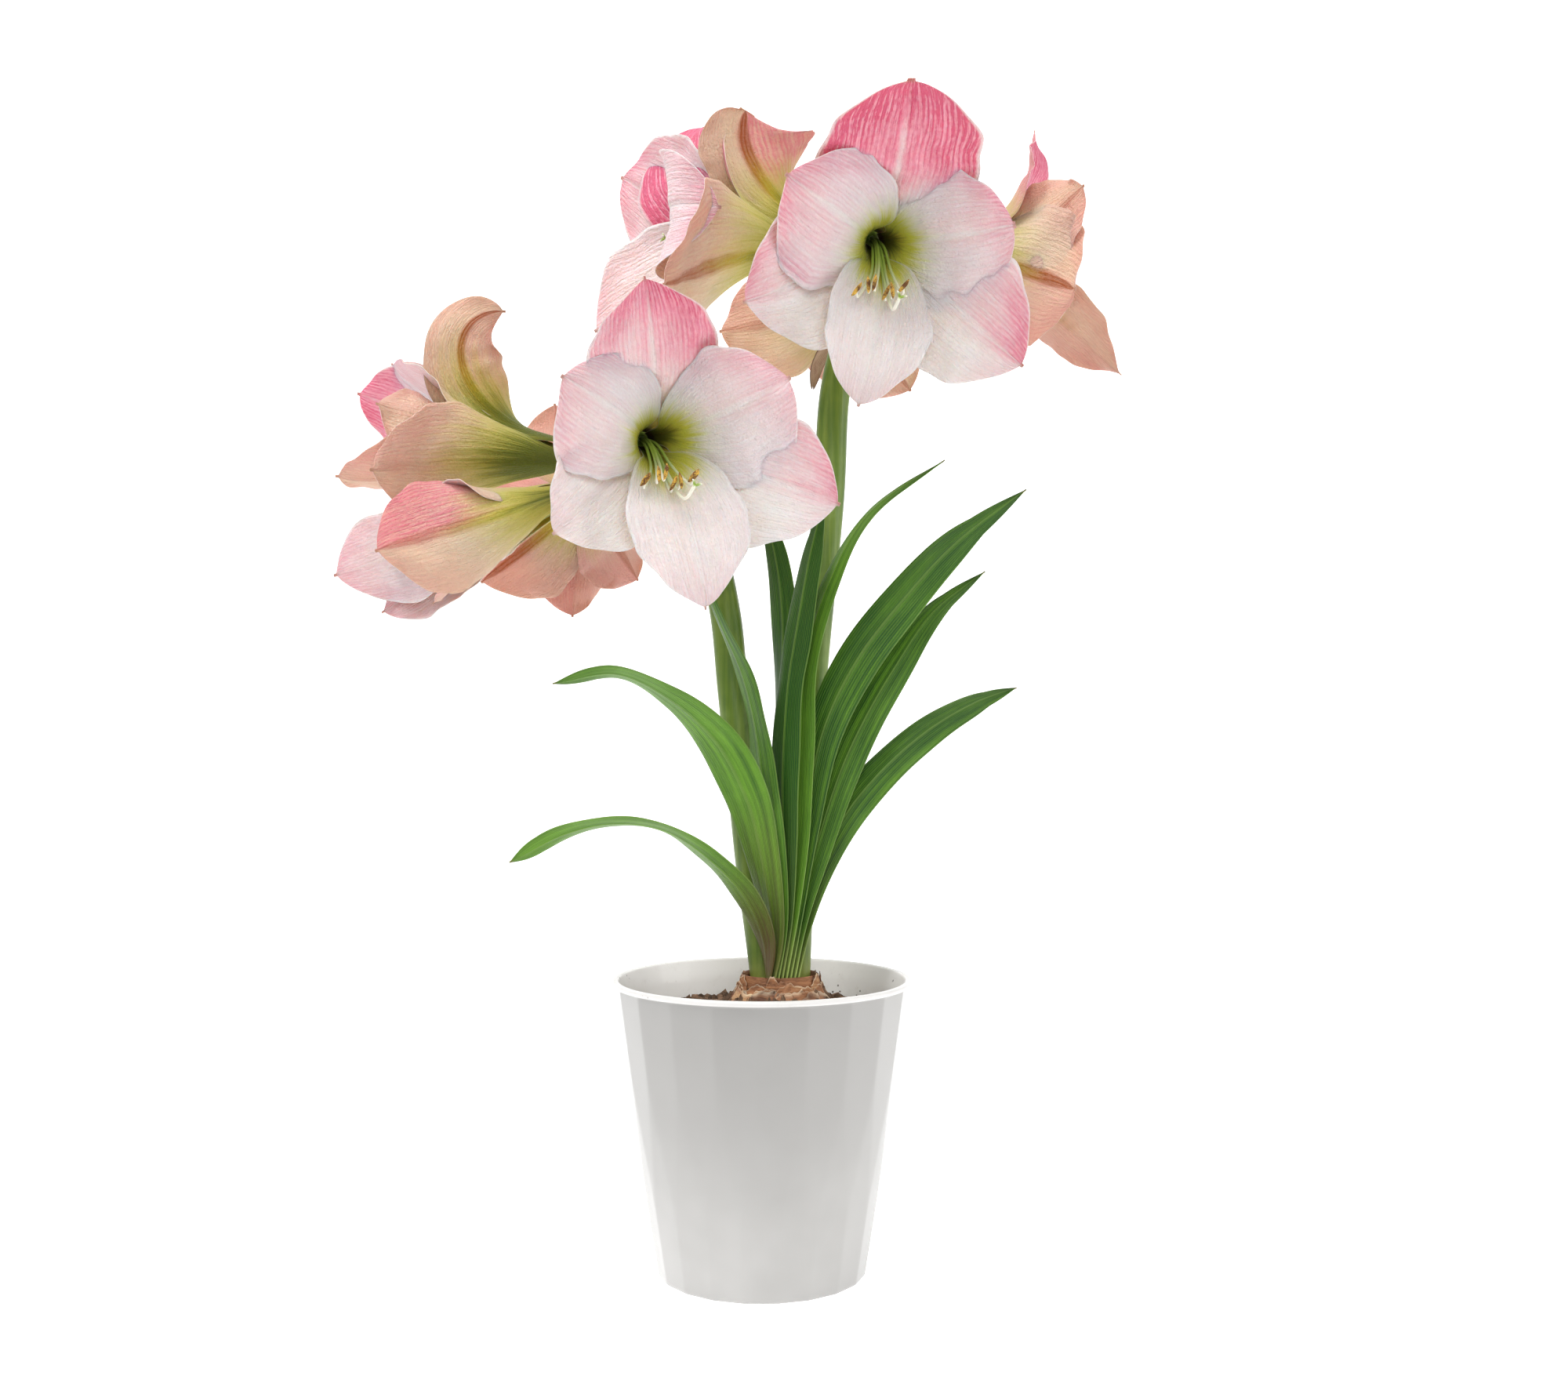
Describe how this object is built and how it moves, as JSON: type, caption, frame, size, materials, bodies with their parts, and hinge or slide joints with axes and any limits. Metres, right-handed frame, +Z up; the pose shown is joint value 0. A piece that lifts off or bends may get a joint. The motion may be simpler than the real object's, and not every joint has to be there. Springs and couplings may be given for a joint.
{
  "type": "potted amaryllis",
  "caption": "Amaryllis in full bloom: leafless flower stalks with trumpet blooms and strap leaves rise from a bulb half buried in soil, in a round faceted plastic pot.",
  "frame": {"origin": "centre of the pot's flat foot, on the surface that it stands on", "axes": "+Z up along the pot's axis, -Y to the front, where two blooms face, and +X to the right seen from the front"},
  "size_m": [0.4305, 0.2495, 0.6311],
  "materials": {
    "pot_plastic": "gloss",
    "potting_soil": "matte",
    "bulb_tunic": "matte",
    "stalk_green": "satin",
    "tepal_pink": "satin",
    "stamen_cream": "satin",
    "leaf_green": "satin",
    "bract_papery": "matte"
  },
  "bodies": {
    "root": {"pot": "pot_plastic", "soil": "potting_soil", "bulb": "bulb_tunic", "stalk_left": "stalk_green", "stalk_right": "stalk_green", "bloom_left_1": "tepal_pink", "bloom_left_2": "tepal_pink", "bloom_left_3": "tepal_pink", "bloom_left_4": "tepal_pink", "bloom_right_1": "tepal_pink", "bloom_right_2": "tepal_pink", "bloom_right_3": "tepal_pink", "bloom_right_4": "tepal_pink", "stamens_left_1": "stamen_cream", "stamens_left_2": "stamen_cream", "stamens_left_3": "stamen_cream", "stamens_left_4": "stamen_cream", "stamens_right_1": "stamen_cream", "stamens_right_2": "stamen_cream", "stamens_right_3": "stamen_cream", "stamens_right_4": "stamen_cream", "leaf_a": "leaf_green", "leaf_b": "leaf_green", "leaf_c": "leaf_green", "leaf_d": "leaf_green", "leaf_e": "leaf_green", "leaf_f": "leaf_green", "leaf_g": "leaf_green", "leaf_h": "leaf_green", "leaf_i": "leaf_green", "bract_left_1": "bract_papery", "bract_left_2": "bract_papery", "bract_right_1": "bract_papery", "bract_right_2": "bract_papery"}
  },
  "joints": []
}
